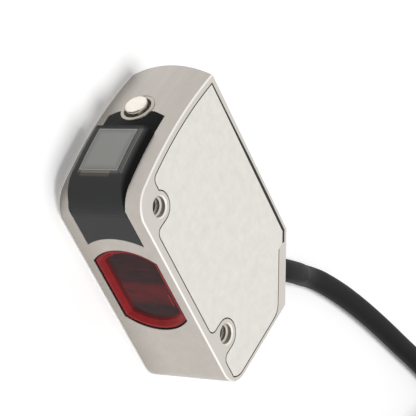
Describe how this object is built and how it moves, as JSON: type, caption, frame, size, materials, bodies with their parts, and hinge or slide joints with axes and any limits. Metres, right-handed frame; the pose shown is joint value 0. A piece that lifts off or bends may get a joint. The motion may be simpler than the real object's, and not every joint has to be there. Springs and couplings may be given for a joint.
{
  "type": "laser photoelectric sensor",
  "caption": "Slim metal photoelectric sensor with a crowned display head, a button, a red lens window, two threaded mounting holes and a free cable",
  "frame": {"origin": "middle of the two mounting holes, on the blank mounting side the sensor lies on", "axes": "+Z from the mounting side to the cover side, +X from the front face to the back, +Y from the bottom to the display head"},
  "size_m": [0.0687, 0.1589, 0.0188],
  "materials": {
    "metal": "die-cast metal, fine brushed satin plating with bright bevelled edges",
    "cover": "satin plated sheet, lighter than the housing",
    "gasket": "black rubber",
    "smoked": "glossy smoked plastic, nearly black",
    "screen": "grey screen, switched off",
    "black_plastic": "matt black moulded plastic",
    "board": "green solder mask",
    "lamp": "small surface-mounted lamps",
    "flex": "amber film",
    "bright": "bright plated metal",
    "button": "dark grey plastic cap",
    "red_window": "transparent deep red plastic over a black inside",
    "clear": "clear moulded lens",
    "brass": "gold-plated can",
    "jacket": "matt black cable jacket",
    "core": "coloured core insulation"
  },
  "bodies": {
    "root": {"housing": "metal", "side_cover": "cover", "cover_seal": "gasket", "display_window": "smoked", "window_seal": "gasket", "display_glass": "screen", "display_module": "black_plastic", "display_board": "board", "indicator_leds": "lamp", "display_flex": "flex", "button_collar": "bright", "stem_seal": "gasket", "tactile_switch": "bright", "switch_board": "board", "lens_window": "red_window", "lens_seal": "gasket", "optics_frame": "black_plastic", "emitter_lens": "clear", "laser_diode": "brass", "receiver_lens": "clear", "image_sensor": "black_plastic", "sensor_board": "board", "main_board": "board", "board_chips": "black_plastic", "board_screws": "bright", "board_link": "black_plastic", "cable_gland": "bright", "gland_nut": "bright", "cable_boot": "gasket", "cable_root": "jacket", "crimp_ring": "bright", "cable_wires": "core", "cable": "jacket", "cable_coil": "jacket", "coil_tie": "black_plastic", "cable_tail": "jacket", "core_ends": "core"},
    "button": {"button": "button", "switch_plunger": "black_plastic"}
  },
  "joints": [
    {"name": "button_press", "type": "slide", "parent": "root", "child": "button", "axis": [0, -1, 0], "range_m": [0, 0.0004], "stiffness_N_per_m": 3000, "springref_m": -0.0003}
  ]
}
